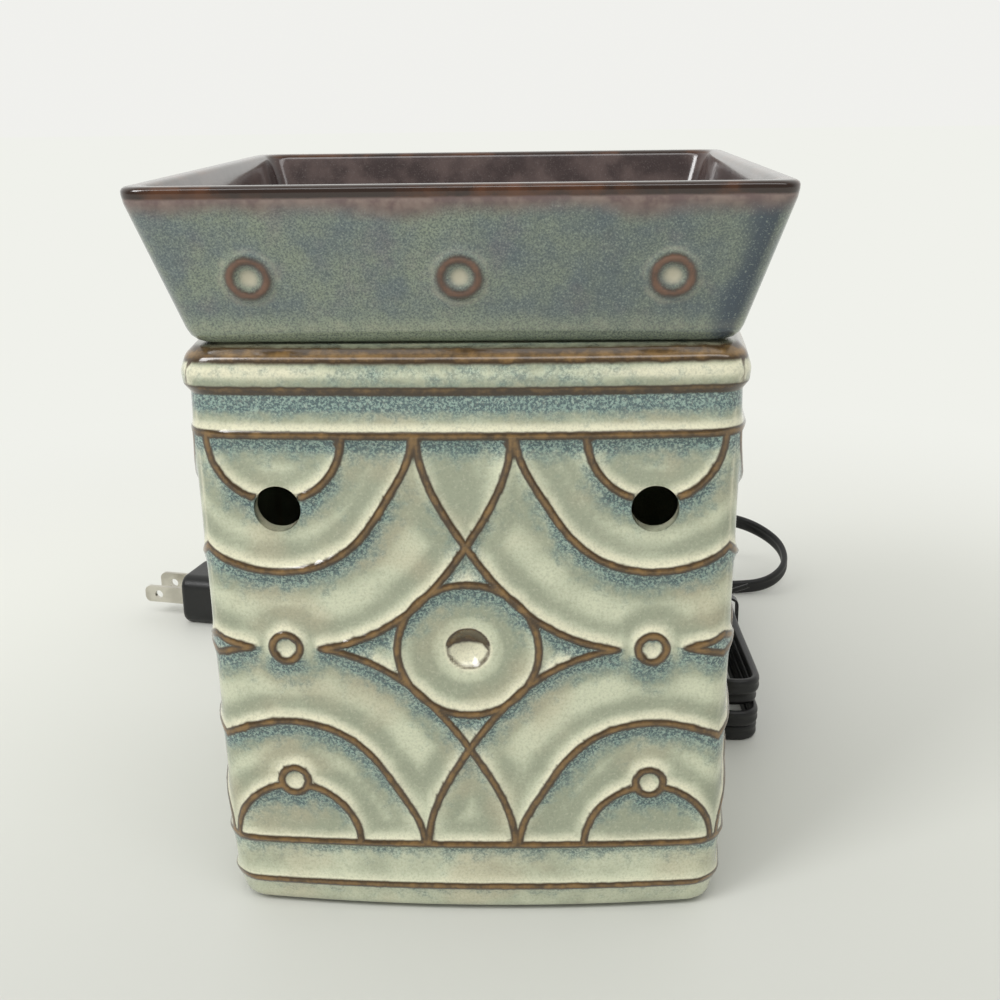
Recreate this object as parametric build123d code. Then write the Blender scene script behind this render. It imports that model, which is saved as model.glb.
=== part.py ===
from build123d import *
import math
import os

# Electric wax melt warmer: a lift-off ceramic dish on a ceramic lantern body that hides a small
# lamp. Millimetres, +Z up, origin on the table under the middle of the body, front towards -Y.

# Body shell
foot_proud = 1.0  # rubber feet below the ceramic
body_height = 141.0  # ceramic, underside to dish seat
body_half_foot = 62.2  # half width at the underside
body_half_neck = 65.1  # half width under the top roll
body_corner = 7.0
body_wall = 5.0
floor_thickness = 8.0
foot_round = 4.0
roll_height = 10.4
roll_proud = 0.8
roll_round = 6.0
roll_under_round = 1.0
shoulder_drop = 16.0  # inside, where the wall starts to lean in below the seat
lip_thickness = 6.0
opening_half = 50.0

# Raised pattern on the four sides
panel_bottom = 18.6  # lower border line above the ceramic's underside
panel_top = 120.6  # upper border line above the ceramic's underside
skirt_line_height = 6.9
panel_half = 54.9
ridge_width = 1.9
ridge_height = 0.9
arc_offset = 42.6  # arc centres from the middle of a side
small_arc_radius = 15.6
middle_arc_radius = 32.6
large_arc_radius = 51.3
centre_ring_radius = 16.4
dot_diameter = 8.8
dot_hole_diameter = 5.4
dimple_diameter = 10.5
dimple_depth = 1.6
vent_diameter = 10.8
vent_drop = 1.0  # vent centre below the small arc

# Wax dish
dish_height = 34.8
dish_base_half = 60.6
dish_rim_half = 70.6  # before its edge is rounded
dish_wall = 4.5
dish_floor = 5.5
dish_corner = 6.0
dish_base_round = 4.0
dish_rim_round = 1.6
dish_basin_round = 4.0
dish_foot_depth = 4.0
dish_foot_wall = 4.0
dish_foot_clearance = 1.5
boss_spacing = 45.0
boss_height = 15.2  # boss centre above the dish's base
boss_diameter = 10.8
boss_dimple_diameter = 6.0
boss_proud = 0.9
boss_dimple_depth = 0.8

# Rubber feet
foot_diameter = 12.0
foot_recess = 1.0
foot_offset = 46.0

# Nipple, nuts and washers through the floor
nipple_diameter = 10.0
nipple_bore = 6.5
nipple_hole_clearance = 0.2
nipple_spare = 1.2
nut_across_flats = 14.0
nut_height = 2.6
nut_fit = 0.05
washer_diameter = 20.0
washer_thickness = 1.2
lock_washer_diameter = 16.0
lock_washer_thickness = 1.0
nut_pocket_diameter = 24.0
nut_pocket_depth = 4.0

# Lamp holder
strap_width = 14.0
strap_thickness = 1.5
strap_leg_height = 34.0
strap_hole_clearance = 0.2
holder_diameter = 26.0
holder_height = 34.0
holder_rise = 15.0  # holder's underside above the body's inner floor
holder_floor = 9.0
strap_screw_diameter = 3.0
strap_screw_length = 4.0
strap_screw_head = 6.0
strap_screw_head_height = 1.8
strap_screw_rise = 8.0  # above the holder's underside
terminal_diameter = 3.5
terminal_head = 6.0
terminal_head_height = 2.0
terminal_length = 4.0
terminal_offset = 8.0
screw_shell_wall = 0.5
screw_shell_height = 20.0
screw_shell_clearance = 0.1
contact_width = 5.0
contact_thickness = 0.6

# Lamp
cap_diameter = 11.8
cap_height = 19.0
cap_wall = 0.4
cap_clearance = 0.25
thread_depth = 0.5
thread_pitch = 2.54
thread_turns = 5
insulator_height = 2.2
insulator_diameter = 7.0
button_diameter = 4.4
button_height = 1.2
globe_diameter = 46.0
globe_rise = 29.0  # globe's middle above the cap's top
globe_join_angle = 35.0  # from the globe's lowest point to where the neck's curve meets it
neck_clearance = 0.1
neck_depth = 8.0  # neck inside the cap
glass_wall = 0.8
stem_diameter = 3.4
stem_height = 24.0
filament_diameter = 0.5
filament_span = 14.0
filament_rise = 7.0

# Supply cord, a flat twin 5.2 by 2.7, drawn as a round tube of like section
cord_diameter = 4.2
cord_rest = 2.7  # middle of the cord above the table
cord_arc_share = 0.45  # of the shorter run that an arc takes up
lead_diameter = 2.0
lead_spacing = 2.1
lead_clearance = 0.1
lead_run = 12.0  # from the bush to the first bend
lead_rise = 1.0
lead_spread = 5.0  # from the middle plane, half way along
lead_bend_reach = 16.0  # second bend behind the terminal
lead_end_spread = 3.2
lead_end_reach = 9.0  # last bend from the terminal
lead_end_drop = 2.0
cord_exit_height = 17.5
grommet_hole = 9.0
grommet_flange_diameter = 15.0
grommet_flange = 1.5
grommet_boot_length = 20.0
grommet_tip_diameter = 6.6
grommet_fit = 0.1
grommet_seat_room = 0.3  # flat seats round the flanges
cord_clearance = 0.1
cord_run_out = 16.0  # straight where it leaves the boot, and where it enters the plug's
hank_run_in = 17.0  # straight before the bundle
hank_run_out = 18.0  # straight after the bundle
switch_run_in = 17.0
switch_run_out = 14.0

# Bundle of the cord, lying beside the body
hank_middle_x = 76.2
hank_middle_y = 89.0
hank_half_width = 6.0  # fold radius
hank_waist_half = 4.7
hank_half_run = 53.0
hank_run_change = 2.5  # how far the folds fan out
hank_fan_step = 2.4  # radians of the fan's wave from loop to loop
hank_loops = 4
hank_pitch = 5.4
hank_waist_lift = 0.7
gap_step = 1.5  # between the points that the least gap is measured on
tie_thickness = 0.8
tie_width = 3.6
tie_clearance = 0.3
tie_tail = 12.0
tie_tail_lean = 70.0

# In-line switch
switch_place = (10.0, 135.5)
switch_turn = 14.0
switch_length = 62.0
switch_width = 24.0
switch_lower_height = 11.0
switch_upper_height = 5.0
switch_wall = 1.8
switch_end_wall = 8.0
switch_corner = 6.0
switch_cord_height = 8.0
wheel_diameter = 15.0
wheel_thickness = 5.0
wheel_clearance = 0.4
wheel_notches = 24
wheel_notch_radius = 0.4
axle_diameter = 3.0
axle_fit = 0.05
axle_seat = 1.2  # axle end inside the side wall
switch_screw_diameter = 2.6
switch_screw_head = 5.0
switch_screw_head_height = 1.4
switch_screw_sink = 0.5  # head below the case's underside
switch_screw_offset = (26.5, 7.0)
switch_contact_length = 14.0
switch_contact_height = 5.0
switch_contact_thickness = 0.6
switch_contact_gap = 1.0

# Plug
plug_place = (-120.0, 134.0)
plug_turn = 168.0
plug_width = 24.0
plug_thickness = 19.0
plug_head_length = 15.0
plug_length = 33.0
plug_tail_width = 13.0
plug_tail_thickness = 11.0
plug_round = 2.0
plug_boot_length = 22.0
plug_boot_start = 9.0
plug_boot_end = 6.2
blade_spacing = 12.7
blade_thickness = 1.5
blade_length = 17.5
blade_root = 6.0
live_blade_width = 6.35
neutral_blade_width = 7.9
neutral_wide_length = 12.0
blade_hole = 3.2
blade_hole_place = 11.8
blade_tip_round = 2.2

# Heights that follow from the sizes above
body_base = foot_proud
body_top = body_base + body_height
inner_floor = body_base + floor_thickness
panel_low = body_base + panel_bottom
panel_high = body_base + panel_top
panel_mid = (panel_low + panel_high) / 2
roll_base = body_top - roll_height
shoulder = body_top - shoulder_drop

os.makedirs("parts", exist_ok=True)


def body_half(z):
    """Half width of the body at height z."""
    share = (z - body_base) / (roll_base - body_base)
    return body_half_foot + (body_half_neck - body_half_foot) * share


def body_square(half, z):
    """Rounded square of the body's plan, as a face at height z."""
    return Pos(0, 0, z) * RectangleRounded(2 * half, 2 * half, body_corner)


def frustum(half_low, half_high, low, high, corner):
    """Square block with leaning flat sides and rounded standing edges."""
    outline = [(-half_low, low), (half_low, low), (half_high, high), (-half_high, high)]
    reach = max(half_low, half_high)
    across = make_face(Polyline(*outline, close=True))
    block = extrude(Plane.XZ * across, reach, both=True) & extrude(Plane.YZ * across, reach, both=True)
    standing = block.edges().filter_by_position(Axis.Z, low + 0.1 * (high - low), high - 0.1 * (high - low))
    return fillet(standing, corner)


def ring_band(radius):
    """Flat ring of a ridge's width."""
    return Circle(radius + ridge_width / 2) - Circle(radius - ridge_width / 2)


def revolved(points):
    """Solid turned from an outline of (radius, height) points."""
    outline = make_face(Plane.XZ * Polyline(*points, close=True))
    return revolve(outline, Axis.Z)


def tube_between(outer, inner, low, high):
    """Plain round tube, or a rod where inner is 0."""
    section = Circle(outer / 2)
    if inner > 0:
        section -= Circle(inner / 2)
    return extrude(Pos(0, 0, low) * section, high - low)


def box_between(low, high):
    """Box from its two corners."""
    size = [b - a for a, b in zip(low, high)]
    middle = [(a + b) / 2 for a, b in zip(low, high)]
    return Pos(*middle) * Box(*size)


def save(shape, node):
    """Write one node."""
    export_step(shape, f"parts/{node}.step")


# Body shell: outer form, raised pattern, cavity, vents and floor holes
def panel_pattern():
    """Raised lines of one side, drawn flat: x along the side, y up."""
    panel = Pos(0, panel_mid) * Rectangle(2 * panel_half, panel_high - panel_low)
    lines = Sketch()
    for side in (-1, 1):
        for level in (panel_low, panel_high):
            for radius in (small_arc_radius, middle_arc_radius, large_arc_radius):
                lines += Pos(side * arc_offset, level) * ring_band(radius) & panel
    lines += Pos(0, panel_mid) * ring_band(centre_ring_radius)
    for side in (-1, 1):
        for level in (panel_mid, panel_low + small_arc_radius):
            dot = Pos(side * arc_offset, level)
            lines += dot * Circle(dot_diameter / 2)
            lines -= dot * Circle(dot_hole_diameter / 2)
    return lines


def raised_envelope():
    """Block that the raised lines reach out to."""
    raised_low = body_half(body_base) + ridge_height
    raised_high = body_half(roll_base) + ridge_height
    return frustum(raised_low, raised_high, body_base, roll_base, body_corner + ridge_height)


def border_bands(envelope):
    """The level lines that run right round the body."""
    bands = Part()
    for level in (body_base + skirt_line_height, panel_low, panel_high):
        slab = Pos(0, 0, level) * Box(3 * body_half_neck, 3 * body_half_neck, ridge_width)
        bands += slab & envelope
    return bands


def body_block(envelope):
    """Outer form of the body with its top roll and level lines, not yet hollow."""
    block = frustum(body_half(body_base), body_half(roll_base), body_base, roll_base, body_corner)
    block = fillet(block.faces().sort_by(Axis.Z)[0].edges(), foot_round)
    roll_half = body_half(roll_base) + roll_proud
    roll = extrude(body_square(roll_half, roll_base), roll_height)
    roll = fillet(roll.faces().sort_by(Axis.Z)[-1].edges(), roll_round)
    roll = fillet(roll.faces().sort_by(Axis.Z)[0].edges(), roll_under_round)
    return block + roll + border_bands(envelope)


def make_body_shell(block):
    """Ceramic lantern body, as its walls up to the shoulder and its crown above."""
    shell = block - body_cavity() - body_holes()
    reach = 2 * body_half_neck
    above = box_between((-reach, -reach, shoulder), (reach, reach, 2 * body_top))
    return shell - above, shell & above


def make_raised_lines(block, envelope):
    """Arcs, rings and dots laid on the flat sides of the body."""
    pattern = extrude(Plane.XZ.offset(body_half_foot - 2 * body_wall) * panel_pattern(), 4 * body_wall)
    pattern = (pattern & envelope) - block
    lines = Part()
    for turn in range(4):
        lines += Rot(0, 0, 90 * turn) * pattern
    return lines - body_holes()


def body_cavity():
    """Inside of the body, from its floor to the opening under the dish."""
    lip = body_top - lip_thickness
    levels = [(inner_floor, body_half(inner_floor) - body_wall)]
    levels += [(shoulder, body_half(shoulder) - body_wall)]
    levels += [(lip, opening_half), (body_top, opening_half)]
    return loft([body_square(half, z) for z, half in levels], ruled=True)


def body_holes():
    """Vents on the four sides, dimples, and the holes in floor and back."""
    cuts = Part()
    vent_z = panel_high - small_arc_radius - vent_drop
    for turn in range(4):
        spin = Rot(0, 0, 90 * turn)
        for side in (-1, 1):
            vent = Cylinder(vent_diameter / 2, 4 * body_wall, rotation=(90, 0, 0))
            cuts += spin * Pos(side * arc_offset, -body_half(vent_z), vent_z) * vent
        dimple = Cone(dimple_diameter / 4, dimple_diameter / 2, dimple_depth, rotation=(90, 0, 0))
        cuts += spin * Pos(0, -body_half(panel_mid) + dimple_depth / 2, panel_mid) * dimple
    cuts += tube_between(nipple_diameter + 2 * nipple_hole_clearance, 0, body_base, inner_floor)
    cuts += tube_between(nut_pocket_diameter, 0, body_base, body_base + nut_pocket_depth)
    for x in (-foot_offset, foot_offset):
        for y in (-foot_offset, foot_offset):
            cuts += Pos(x, y, 0) * tube_between(foot_diameter, 0, body_base, body_base + foot_recess)
    return cuts + grommet_seat()


def grommet_seat():
    """Hole for the cord's bush, with flat seats for its flanges outside and inside."""
    outside = body_half(cord_exit_height)
    inside = outside - body_wall
    hole = tube_between(grommet_hole + 2 * grommet_fit, 0, inside - body_wall, outside + body_wall)
    seat = grommet_flange_diameter + 2 * grommet_seat_room
    hole += tube_between(seat, 0, outside, outside + body_wall)
    hole += tube_between(seat, 0, inside - body_wall, inside)
    return through_back * hole


def make_feet():
    """Four rubber feet in their recesses."""
    foot = tube_between(foot_diameter, 0, 0, body_base + foot_recess)
    corners = [(x, y) for x in (-foot_offset, foot_offset) for y in (-foot_offset, foot_offset)]
    return Compound(children=[Pos(x, y, 0) * foot for x, y in corners])


# Wax dish
def dish_half(z):
    """Outer half width of the dish at height z above its base."""
    return dish_base_half + (dish_rim_half - dish_base_half) * z / dish_height


def make_dish():
    """Flared square dish with a foot ring that drops into the body's opening."""
    dish_top = body_top + dish_height
    dish = frustum(dish_base_half, dish_rim_half, body_top, dish_top, dish_corner)
    dish = fillet(dish.faces().sort_by(Axis.Z)[0].edges(), dish_base_round)
    basin_low = dish_half(dish_floor) - dish_wall
    basin_high = dish_rim_half - dish_wall
    basin = frustum(basin_low, basin_high, body_top + dish_floor, dish_top, dish_corner)
    basin = fillet(basin.faces().sort_by(Axis.Z)[0].edges(), dish_basin_round)
    dish -= basin
    dish = fillet(dish.faces().sort_by(Axis.Z)[-1].edges(), dish_rim_round)
    foot_half = opening_half - dish_foot_clearance
    ring = RectangleRounded(2 * foot_half, 2 * foot_half, dish_corner)
    foot_inner = 2 * (foot_half - dish_foot_wall)
    ring -= RectangleRounded(foot_inner, foot_inner, dish_corner)
    dish += extrude(Pos(0, 0, body_top - dish_foot_depth) * ring, dish_foot_depth)
    lean = math.degrees(math.atan2(dish_rim_half - dish_base_half, dish_height))
    for turn in range(4):
        for step in (-1, 0, 1):
            seat = Location((step * boss_spacing, -dish_half(boss_height), body_top + boss_height))
            place = Rot(0, 0, 90 * turn) * seat * Rot(90 + lean, 0, 0)
            dish += place * Cylinder(boss_diameter / 2, 2 * boss_proud)
            dimple = Cylinder(boss_dimple_diameter / 2, boss_dimple_depth)
            dish -= place * Pos(0, 0, boss_proud - boss_dimple_depth / 2) * dimple
    return dish


# Lamp holder and what fastens it
strap_top = inner_floor + strap_thickness
lock_washer_top = strap_top + lock_washer_thickness
upper_nut_top = lock_washer_top + nut_height
pocket_roof = body_base + nut_pocket_depth
washer_base = pocket_roof - washer_thickness
lower_nut_base = washer_base - nut_height
holder_base = inner_floor + holder_rise
holder_top = holder_base + holder_height
holder_seat = holder_base + holder_floor
contact_top = holder_seat + 2 * contact_thickness
cap_base = contact_top + button_height + insulator_height
cap_top = cap_base + cap_height
neck_diameter = cap_diameter - 2 * (thread_depth + cap_wall + neck_clearance)


def make_nipple():
    """Threaded tube through the floor and the strap."""
    return tube_between(nipple_diameter, nipple_bore, lower_nut_base, upper_nut_top + nipple_spare)


def make_nuts():
    """Two hexagon nuts, under the floor and over the strap."""
    outline = RegularPolygon(nut_across_flats / 2, 6, major_radius=False)
    outline -= Circle(nipple_diameter / 2 + nut_fit)
    nut = extrude(outline, nut_height)
    return Compound(children=[Pos(0, 0, z) * nut for z in (lower_nut_base, lock_washer_top)])


def make_strap():
    """U-shaped steel strap that carries the holder."""
    half = holder_diameter / 2 + strap_thickness
    low = (-half, -strap_width / 2, inner_floor)
    strap = box_between(low, (half, strap_width / 2, strap_top))
    strap -= tube_between(nipple_diameter + 2 * strap_hole_clearance, 0, inner_floor, strap_top)
    screw_z = holder_base + strap_screw_rise
    leg_low = (half - strap_thickness, -strap_width / 2, inner_floor)
    leg = box_between(leg_low, (half, strap_width / 2, inner_floor + strap_leg_height))
    hole = tube_between(strap_screw_diameter, 0, half - strap_thickness, half)
    leg -= Location((0, 0, screw_z), (0, 90, 0)) * hole
    return strap + leg + Rot(0, 0, 180) * leg


def make_strap_screws():
    """Screws through the strap's legs into the holder."""
    screw_z = holder_base + strap_screw_rise
    face = holder_diameter / 2 + strap_thickness
    screws = []
    tip = face - strap_thickness - strap_screw_length
    screw = tube_between(strap_screw_diameter, 0, tip, face)
    screw += tube_between(strap_screw_head, 0, face, face + strap_screw_head_height)
    for turn in (0, 180):
        screws.append(Rot(0, 0, turn) * Location((0, 0, screw_z), (0, 90, 0)) * screw)
    return Compound(children=screws)


def make_holder():
    """Insulating holder body, bored for the screw shell."""
    holder = tube_between(holder_diameter, 0, holder_base, holder_top)
    bore = cap_diameter + 2 * (cap_clearance + screw_shell_wall + screw_shell_clearance)
    holder -= tube_between(bore, 0, holder_seat, holder_top)
    screw_z = holder_base + strap_screw_rise
    for side in (-1, 1):
        hole = Cylinder(strap_screw_diameter / 2, strap_screw_length, rotation=(0, 90, 0))
        holder -= Pos(side * (holder_diameter - strap_screw_length) / 2, 0, screw_z) * hole
        post = tube_between(terminal_diameter, 0, holder_base, holder_base + terminal_length)
        holder -= Pos(0, side * terminal_offset, 0) * post
    return holder


def make_terminal_screws():
    """Screws in the holder's underside that clamp the leads."""
    shank = tube_between(terminal_diameter, 0, holder_base, holder_base + terminal_length)
    head = tube_between(terminal_head, 0, holder_base - terminal_head_height, holder_base)
    screw = shank + head
    return Compound(children=[Pos(0, side * terminal_offset, 0) * screw for side in (-1, 1)])


def make_screw_shell():
    """Thin metal sleeve that takes the lamp's cap."""
    inner = cap_diameter + 2 * cap_clearance
    return tube_between(inner + 2 * screw_shell_wall, inner, holder_top - screw_shell_height, holder_top)


def make_centre_contact():
    """Sprung tongue under the lamp's button."""
    side = contact_width / 2
    base_half = cap_diameter / 2
    base_top = holder_seat + contact_thickness
    base = box_between((-base_half, -side, holder_seat), (base_half, side, base_top))
    tongue_half = button_diameter / 2
    return base + box_between((-tongue_half, -side, base_top), (tongue_half, side, contact_top))


# Lamp
def make_cap():
    """Screw cap with rolled threads."""
    radius = cap_diameter / 2
    outer = [(radius - thread_depth, cap_base)]
    thread_base = cap_base + thread_pitch / 2
    for step in range(2 * thread_turns + 1):
        out = radius - thread_depth * ((step + 1) % 2)
        outer.append((out, thread_base + step * thread_pitch / 2))
    outer.append((radius - thread_depth, cap_top))
    inner = radius - thread_depth - cap_wall
    foot = insulator_diameter / 2 - cap_wall
    points = outer + [(inner, cap_top), (inner, cap_base + cap_wall), (foot, cap_base + cap_wall)]
    return revolved(points + [(foot, cap_base)])


def make_insulator():
    """Insulating plug between cap and button."""
    return tube_between(insulator_diameter, 0, cap_base - insulator_height, cap_base)


def make_button():
    """Bottom contact."""
    return tube_between(button_diameter, 0, contact_top, contact_top + button_height)


def globe_outline(shrink):
    """Half outline of the globe and neck, drawn in by shrink."""
    radius = globe_diameter / 2 - shrink
    neck = neck_diameter / 2 - shrink
    middle = cap_top + globe_rise
    bottom = cap_top - neck_depth
    angle = math.radians(globe_join_angle)
    join = (radius * math.sin(angle), middle - radius * math.cos(angle))
    crown = (radius, middle)
    edges = [Line((0, bottom), (neck, bottom)), Line((neck, bottom), (neck, cap_top))]
    edges.append(Spline((neck, cap_top), join, tangents=((0, 1), (math.cos(angle), math.sin(angle)))))
    edges.append(ThreePointArc(join, crown, (0, middle + radius)))
    edges.append(Line((0, middle + radius), (0, bottom)))
    return revolve(make_face([Plane.XZ * edge for edge in edges]), Axis.Z)


def make_globe():
    """Thin glass globe with an open neck."""
    hollow = globe_outline(glass_wall)
    open_neck = tube_between(neck_diameter - 2 * glass_wall, 0, cap_top - neck_depth, cap_top)
    return globe_outline(0) - hollow - open_neck


def make_stem():
    """Glass stem with its flare sealed inside the neck."""
    base = cap_top - neck_depth
    flare = neck_diameter / 2 - glass_wall
    rod = stem_diameter / 2
    outline = [(0, base), (flare, base), (flare, base + glass_wall), (rod, base + neck_depth)]
    return revolved(outline + [(rod, base + stem_height), (0, base + stem_height)])


def make_filament():
    """Support wires and filament as one bent wire standing on the stem."""
    base = cap_top - neck_depth + stem_height
    side = filament_span / 2
    foot = stem_diameter / 2 - filament_diameter
    knee = base + 3 * filament_diameter
    top = base + filament_rise
    right = [(foot, 0, base), (foot, 0, knee), (side, 0, top)]
    left = [(-x, y, z) for x, y, z in reversed(right)]
    path = FilletPolyline(*right, *left, radius=filament_diameter)
    return sweep(Plane(path @ 0, z_dir=path % 0) * Circle(filament_diameter / 2), path=path)


# Cord, its exit and the leads inside
cord_face = body_half(cord_exit_height)
boot_base = cord_face + grommet_flange
boot_tip = boot_base + grommet_boot_length
inner_face = cord_face - body_wall - grommet_flange
through_back = Location((0, 0, cord_exit_height), (-90, 0, 0))


def make_grommet():
    """Rubber bush through the back wall, with a tapered boot outside."""
    bush = tube_between(grommet_hole, 0, inner_face, boot_base)
    bush += tube_between(grommet_flange_diameter, 0, cord_face, boot_base)
    bush += tube_between(grommet_flange_diameter, 0, inner_face, inner_face + grommet_flange)
    wide, narrow = grommet_hole / 2, grommet_tip_diameter / 2
    bush += revolved([(0, boot_base), (wide, boot_base), (narrow, boot_tip), (0, boot_tip)])
    bush -= tube_between(cord_diameter + 2 * cord_clearance, 0, inner_face, boot_tip)
    return through_back * bush


def make_cord_lead():
    """First stretch of the cord, from inside the body through the bush to the bundle."""
    held = through_back * tube_between(cord_diameter, 0, inner_face, boot_tip)
    return held + swept_tube(cord_path(lead_route, "cord_lead"), cord_diameter, "cord_lead")


def cord_path(points, name):
    """Straight runs joined by arcs as large as the runs allow."""
    spots = [Vector(*point) for point in points]
    runs = [(b - a) for a, b in zip(spots, spots[1:])]
    radii = []
    for before, after in zip(runs, runs[1:]):
        turn = math.radians(before.get_angle(after))
        radii.append(cord_arc_share * min(before.length, after.length) / math.tan(turn / 2))
    print(name, "radii", [round(radius, 1) for radius in radii])
    return FilletPolyline(*points, radius=radii)


def swept_tube(path, diameter, name):
    """Round tube along a path, with its volume set against section times length."""
    tube = sweep(Plane(path @ 0, z_dir=path % 0) * Circle(diameter / 2), path=path)
    expected = math.pi * diameter**2 / 4 * path.length
    print(name, "length", round(path.length, 1), "volume share", round(tube.volume / expected, 4))
    return tube


def make_lead(side):
    """One insulated conductor from the cord's end to its terminal."""
    x = side * lead_spacing / 2
    end_z = holder_base - terminal_head_height - lead_diameter / 2 - lead_clearance
    end_y = side * terminal_offset
    points = [
        (x, inner_face, cord_exit_height),
        (x * 2, inner_face - lead_run, cord_exit_height + lead_rise),
        (side * lead_spread, terminal_offset + lead_bend_reach, end_z - lead_end_drop),
        (side * lead_end_spread, end_y + lead_end_reach + lead_end_drop * (1 - side), end_z),
        (0, end_y, end_z),
    ]
    path = cord_path(points, "lead")
    return swept_tube(path, lead_diameter, "lead")


def along(place, turn, distance, height):
    """Point at a distance along a piece that lies at place, turned by turn degrees."""
    angle = math.radians(turn)
    return (place[0] + distance * math.cos(angle), place[1] + distance * math.sin(angle), height)


def switch_spot(distance):
    """Point on the cord's line through the switch."""
    return along(switch_place, switch_turn, distance, switch_cord_height)


def plug_spot(distance):
    """Point on the cord's line into the plug."""
    return along(plug_place, plug_turn, distance, plug_thickness / 2)


hank_top = cord_rest + hank_loops * hank_pitch
hank_start = (hank_middle_x - hank_waist_half, hank_middle_y, cord_rest + hank_waist_lift)
hank_end = (hank_middle_x + hank_half_width, hank_middle_y + hank_half_run, hank_top)
plug_boot_tip = -plug_length - plug_boot_length
lead_route = [
    (0, boot_tip, cord_exit_height),
    (0, boot_tip + cord_run_out, cord_exit_height),
    (9, 117, 9),
    (28, 126, 4),
    (48, 125, cord_rest),
    (65, 118, cord_rest),
    (hank_start[0], hank_start[1] + hank_run_in, hank_start[2]),
    hank_start,
]
loop_route = [
    hank_end,
    (hank_end[0], hank_end[1] + hank_run_out, hank_end[2]),
    (83, 178, 24.2),
    (92, 187.5, 21.5),
    (104.6, 187.5, 17.5),
    (114, 178, 12.5),
    (114, 165, 7.5),
    (104.6, 156, 3.6),
    (90, 155.5, cord_rest),
    (74, 156, cord_rest),
    switch_spot(switch_length / 2 + switch_run_in),
    switch_spot(switch_length / 2),
]
tail_route = [
    switch_spot(-switch_length / 2),
    switch_spot(-switch_length / 2 - switch_run_out),
    plug_spot(plug_boot_tip - cord_run_out),
    plug_spot(plug_boot_tip),
]


def biarc(start, start_way, end, end_way):
    """Two arcs that leave start along start_way, meet smoothly and reach end along end_way."""
    chord = end - start
    ways = start_way + end_way
    square = 2 * (start_way.dot(end_way) - 1)
    middle = -2 * chord.dot(ways)
    size = chord.dot(chord)
    if abs(square) < 1e-9:
        reach = -size / middle
    else:
        reach = (-middle - math.sqrt(middle**2 - 4 * square * size)) / (2 * square)
    joint = (start + start_way * reach + end - end_way * reach) * 0.5
    joint_way = (end - end_way * reach - start - start_way * reach).normalized()
    return [arc_or_line(start, start_way, joint), arc_or_line(joint, joint_way, end)]


def arc_or_line(start, way, end):
    """Arc from start along way to end, or a line where they already point there."""
    if way.get_angle(end - start) < 0.01:
        return Edge.make_line(start, end)
    return Edge.make_tangent_arc(start, way, end)


def hank_stations():
    """Points and directions round the bundle, a quarter turn apart, climbing along one run."""
    forward, back = Vector(0, -1, 0), Vector(0, 1, 0)
    right, left = Vector(1, 0, 0), Vector(-1, 0, 0)
    stations = []
    for loop in range(hank_loops):
        z = cord_rest + loop * hank_pitch
        run = hank_half_run + hank_run_change * math.sin(hank_fan_step * loop)
        lift = hank_waist_lift if loop == 0 else 0
        climb = Vector(0, 2 * hank_half_run, hank_pitch).normalized()
        next_z = z + hank_pitch
        stations += [
            (-hank_waist_half, 0, z + lift, forward),
            (-hank_half_width, -run, z, forward),
            (0, -run - hank_half_width, z, right),
            (hank_half_width, -run, z, back),
            (hank_waist_half, 0, z + hank_pitch / 2, climb),
            (hank_half_width, hank_half_run, next_z, back),
        ]
        if loop < hank_loops - 1:
            stations.append((0, hank_half_run + hank_half_width, next_z, left))
            stations.append((-hank_half_width, hank_half_run, next_z, forward))
    return [(Vector(hank_middle_x + x, hank_middle_y + y, z), way) for x, y, z, way in stations]


def least_gap(path, diameter):
    """Least clear distance between stretches of a path that aren't neighbours."""
    steps = int(path.length / gap_step)
    points = [path @ (step / steps) for step in range(steps + 1)]
    skip = math.ceil(math.pi * hank_half_width / gap_step) + 1
    return min((a - b).length for i, a in enumerate(points) for b in points[i + skip:]) - diameter


def make_hank():
    """Bundle of the spare cord: one tube, a loop to each layer."""
    stations = hank_stations()
    edges = []
    for (start, start_way), (end, end_way) in zip(stations, stations[1:]):
        edges += biarc(start, start_way, end, end_way)
    path = Wire(edges)
    print("hank least gap", round(least_gap(path, cord_diameter), 2))
    return swept_tube(path, cord_diameter, "hank")


def make_tie():
    """Twist tie round the bundle's waist, with its twisted tail."""
    half = hank_waist_half + cord_diameter / 2 + tie_clearance
    low = cord_rest + hank_waist_lift - cord_diameter / 2 - tie_clearance
    high = cord_rest + (hank_loops - 0.5) * hank_pitch + cord_diameter / 2 + tie_clearance
    middle = (low + high) / 2
    corner = cord_diameter / 2
    inside = RectangleRounded(2 * half, high - low, corner)
    outer_half = half + tie_thickness
    outer_height = high - low + 2 * tie_thickness
    outside = RectangleRounded(2 * outer_half, outer_height, corner + tie_thickness)
    band = extrude(Plane.XZ * (outside - inside), tie_width / 2, both=True)
    tail_root = Location((0, 0, (high - low) / 2 + tie_thickness), (0, tie_tail_lean, 0))
    tail = tail_root * tube_between(2 * tie_thickness, 0, 0, tie_tail)
    return Pos(hank_middle_x, hank_middle_y, middle) * (band + tail)


# In-line switch, drawn along x on its own table, then laid in place
switch_set = Location((*switch_place, 0), (0, 0, switch_turn))
switch_top = switch_lower_height + switch_upper_height


def switch_block(low, high, inset):
    """Rounded block of the switch's plan, drawn in by inset."""
    outline = RectangleRounded(switch_length - 2 * inset, switch_width - 2 * inset, switch_corner - inset)
    return extrude(Pos(0, 0, low) * outline, high - low)


def switch_room(low, high):
    """Space inside the case, closed by thick ends that grip the cord."""
    half_x = switch_length / 2 - switch_end_wall
    half_y = switch_width / 2 - switch_wall
    return box_between((-half_x, -half_y, low), (half_x, half_y, high))


def axle_rod(length, extra):
    """Rod across the switch at the axle's place."""
    return Pos(0, 0, switch_lower_height) * Cylinder(axle_diameter / 2 + extra, length, rotation=(90, 0, 0))


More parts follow.
